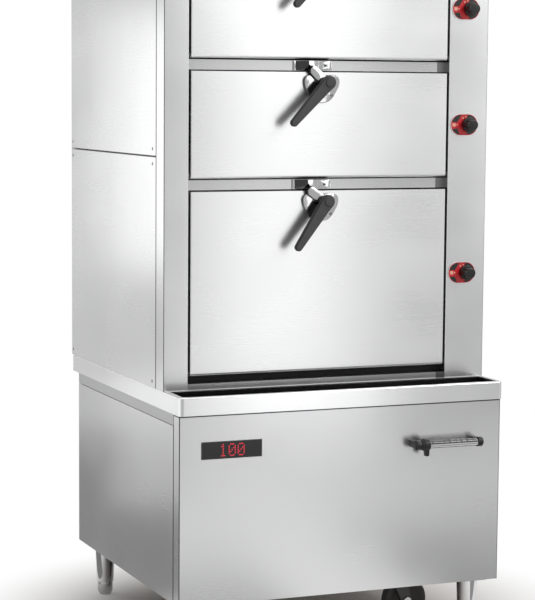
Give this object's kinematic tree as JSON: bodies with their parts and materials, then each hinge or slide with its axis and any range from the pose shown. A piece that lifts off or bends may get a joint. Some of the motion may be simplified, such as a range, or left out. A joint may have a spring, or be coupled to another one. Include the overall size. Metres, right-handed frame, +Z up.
{
  "type": "seafood steaming cabinet",
  "caption": "Free-standing commercial steaming cabinet: boiler base with worktop and drip trough, set-back upper cabinet with stacked drop-down doors, lever latches and steam knobs.",
  "frame": {"origin": "on the floor, under the middle of the overall box", "axes": "+X to the right of someone in front, +Y from front to back, +Z up"},
  "size_m": [0.9, 0.9384, 1.85],
  "materials": {
    "stainless": "satin",
    "bright_stainless": "satin",
    "frame_stainless": "satin",
    "chrome": "polished",
    "black_plastic": "satin",
    "black_painted_steel": "satin",
    "castor_rubber": "matte",
    "silicone_gasket": "matte",
    "red_label": "gloss",
    "display_window": "gloss",
    "copper_coil": "satin",
    "grey_housing": "satin",
    "fan_plastic": "satin",
    "brass_fitting": "satin"
  },
  "bodies": {
    "cabinet": {"base_frame": "frame_stainless", "base_front_panel": "stainless", "base_side_panels": "stainless", "base_back_panel": "stainless", "base_floor": "stainless", "worktop": "stainless", "leg_tubes": "frame_stainless", "castor_mounts": "black_painted_steel", "display_unit": "display_window", "power_mounts": "black_plastic", "power_tube": "bright_stainless", "stiles": "stainless", "cross_bars": "stainless", "upper_side_panels": "stainless", "back_panel": "stainless", "top_panel": "stainless", "shelf_plates": "bright_stainless", "door_gaskets": "silicone_gasket", "hinge_pivots": "bright_stainless", "keepers": "chrome", "label_plates": "red_label", "steam_pipe": "bright_stainless", "boiler_tank": "bright_stainless", "induction_coil": "copper_coil", "power_unit": "grey_housing", "water_inlet": "brass_fitting", "cable_gland": "black_plastic", "drain_valve": "bright_stainless", "chamber_liner_lower": "bright_stainless", "chamber_liner_middle": "bright_stainless", "chamber_liner_upper": "bright_stainless"},
    "door_lower": {"door_lower": "stainless", "latch_shield_lower": "chrome"},
    "latch_lower": {"latch_tongue_lower": "chrome", "latch_lever_lower": "black_plastic"},
    "knob_lower": {"knob_lower": "black_plastic"},
    "door_middle": {"door_middle": "stainless", "latch_shield_middle": "chrome"},
    "latch_middle": {"latch_tongue_middle": "chrome", "latch_lever_middle": "black_plastic"},
    "knob_middle": {"knob_middle": "black_plastic"},
    "door_upper": {"door_upper": "stainless", "latch_shield_upper": "chrome"},
    "latch_upper": {"latch_tongue_upper": "chrome", "latch_lever_upper": "black_plastic"},
    "knob_upper": {"knob_upper": "black_plastic"},
    "power_slider": {"power_slider": "black_plastic"},
    "foot_front_left": {"foot_front_left": "frame_stainless"},
    "foot_front_right": {"foot_front_right": "frame_stainless"},
    "foot_rear_left": {"foot_rear_left": "frame_stainless"},
    "foot_rear_right": {"foot_rear_right": "frame_stainless"},
    "castor_wheel_front_left": {"castor_wheel_front_left": "castor_rubber"},
    "castor_fork_front_left": {"castor_fork_front_left": "black_painted_steel"},
    "castor_wheel_front_right": {"castor_wheel_front_right": "castor_rubber"},
    "castor_fork_front_right": {"castor_fork_front_right": "black_painted_steel"},
    "castor_wheel_rear_left": {"castor_wheel_rear_left": "castor_rubber"},
    "castor_wheel_rear_right": {"castor_wheel_rear_right": "castor_rubber"},
    "fan": {"fan_rotor": "fan_plastic"},
    "float": {"float_arm": "bright_stainless"},
    "drain_lever": {"drain_lever": "brass_fitting"}
  },
  "joints": [
    {"name": "door_lower_hinge", "type": "hinge", "parent": "cabinet", "child": "door_lower", "pos_m": [0, -0.30675, 0.719], "axis": [1, 0, 0], "range_deg": [0, 90]},
    {"name": "latch_lower_turn", "type": "hinge", "parent": "door_lower", "child": "latch_lower", "pos_m": [-0.022, -0.31375, 1.15], "axis": [0, -1, 0], "range_deg": [0, 50]},
    {"name": "knob_lower_turn", "type": "hinge", "parent": "cabinet", "child": "knob_lower", "pos_m": [0.395, -0.31375, 0.955], "axis": [0, 1, 0], "range_deg": [0, 90]},
    {"name": "door_middle_hinge", "type": "hinge", "parent": "cabinet", "child": "door_middle", "pos_m": [0, -0.30675, 1.216], "axis": [1, 0, 0], "range_deg": [0, 90]},
    {"name": "latch_middle_turn", "type": "hinge", "parent": "door_middle", "child": "latch_middle", "pos_m": [-0.022, -0.31375, 1.451], "axis": [0, -1, 0], "range_deg": [0, 50]},
    {"name": "knob_middle_turn", "type": "hinge", "parent": "cabinet", "child": "knob_middle", "pos_m": [0.395, -0.31375, 1.344], "axis": [0, 1, 0], "range_deg": [0, 90]},
    {"name": "door_upper_hinge", "type": "hinge", "parent": "cabinet", "child": "door_upper", "pos_m": [0, -0.30675, 1.517], "axis": [1, 0, 0], "range_deg": [0, 90]},
    {"name": "latch_upper_turn", "type": "hinge", "parent": "door_upper", "child": "latch_upper", "pos_m": [-0.022, -0.31375, 1.752], "axis": [0, -1, 0], "range_deg": [0, 50]},
    {"name": "knob_upper_turn", "type": "hinge", "parent": "cabinet", "child": "knob_upper", "pos_m": [0.395, -0.31375, 1.645], "axis": [0, 1, 0], "range_deg": [0, 90]},
    {"name": "power_slide", "type": "slide", "parent": "cabinet", "child": "power_slider", "axis": [1, 0, 0], "range_m": [0, 0.137]},
    {"name": "foot_front_left_screw", "type": "slide", "parent": "cabinet", "child": "foot_front_left", "axis": [0, 0, -1], "range_m": [0, 0.02]},
    {"name": "foot_front_right_screw", "type": "slide", "parent": "cabinet", "child": "foot_front_right", "axis": [0, 0, -1], "range_m": [0, 0.02]},
    {"name": "foot_rear_left_screw", "type": "slide", "parent": "cabinet", "child": "foot_rear_left", "axis": [0, 0, -1], "range_m": [0, 0.02]},
    {"name": "foot_rear_right_screw", "type": "slide", "parent": "cabinet", "child": "foot_rear_right", "axis": [0, 0, -1], "range_m": [0, 0.02]},
    {"name": "castor_front_left_swivel", "type": "hinge", "parent": "cabinet", "child": "castor_fork_front_left", "pos_m": [-0.235, -0.22575, 0.1457], "axis": [0, 0, 1], "continuous": true},
    {"name": "castor_front_left_spin", "type": "hinge", "parent": "castor_fork_front_left", "child": "castor_wheel_front_left", "pos_m": [-0.2, -0.22575, 0.0645], "axis": [0, 1, 0], "continuous": true},
    {"name": "castor_front_right_swivel", "type": "hinge", "parent": "cabinet", "child": "castor_fork_front_right", "pos_m": [0.235, -0.22575, 0.1457], "axis": [0, 0, 1], "continuous": true},
    {"name": "castor_front_right_spin", "type": "hinge", "parent": "castor_fork_front_right", "child": "castor_wheel_front_right", "pos_m": [0.27, -0.22575, 0.0645], "axis": [0, 1, 0], "continuous": true},
    {"name": "castor_rear_left_spin", "type": "hinge", "parent": "cabinet", "child": "castor_wheel_rear_left", "pos_m": [-0.235, 0.23925, 0.0645], "axis": [1, 0, 0], "continuous": true},
    {"name": "castor_rear_right_spin", "type": "hinge", "parent": "cabinet", "child": "castor_wheel_rear_right", "pos_m": [0.235, 0.23925, 0.0645], "axis": [1, 0, 0], "continuous": true},
    {"name": "fan_spin", "type": "hinge", "parent": "cabinet", "child": "fan", "pos_m": [-0.27, 0.35875, 0.2045], "axis": [0, 1, 0], "continuous": true},
    {"name": "float_lift", "type": "hinge", "parent": "cabinet", "child": "float", "pos_m": [-0.238, -0.00425, 0.488], "axis": [0, -1, 0], "range_deg": [0, 45]},
    {"name": "drain_lever_turn", "type": "hinge", "parent": "cabinet", "child": "drain_lever", "pos_m": [0.185, 0.08075, 0.092], "axis": [0, 0, 1], "range_deg": [0, 90]}
  ]
}
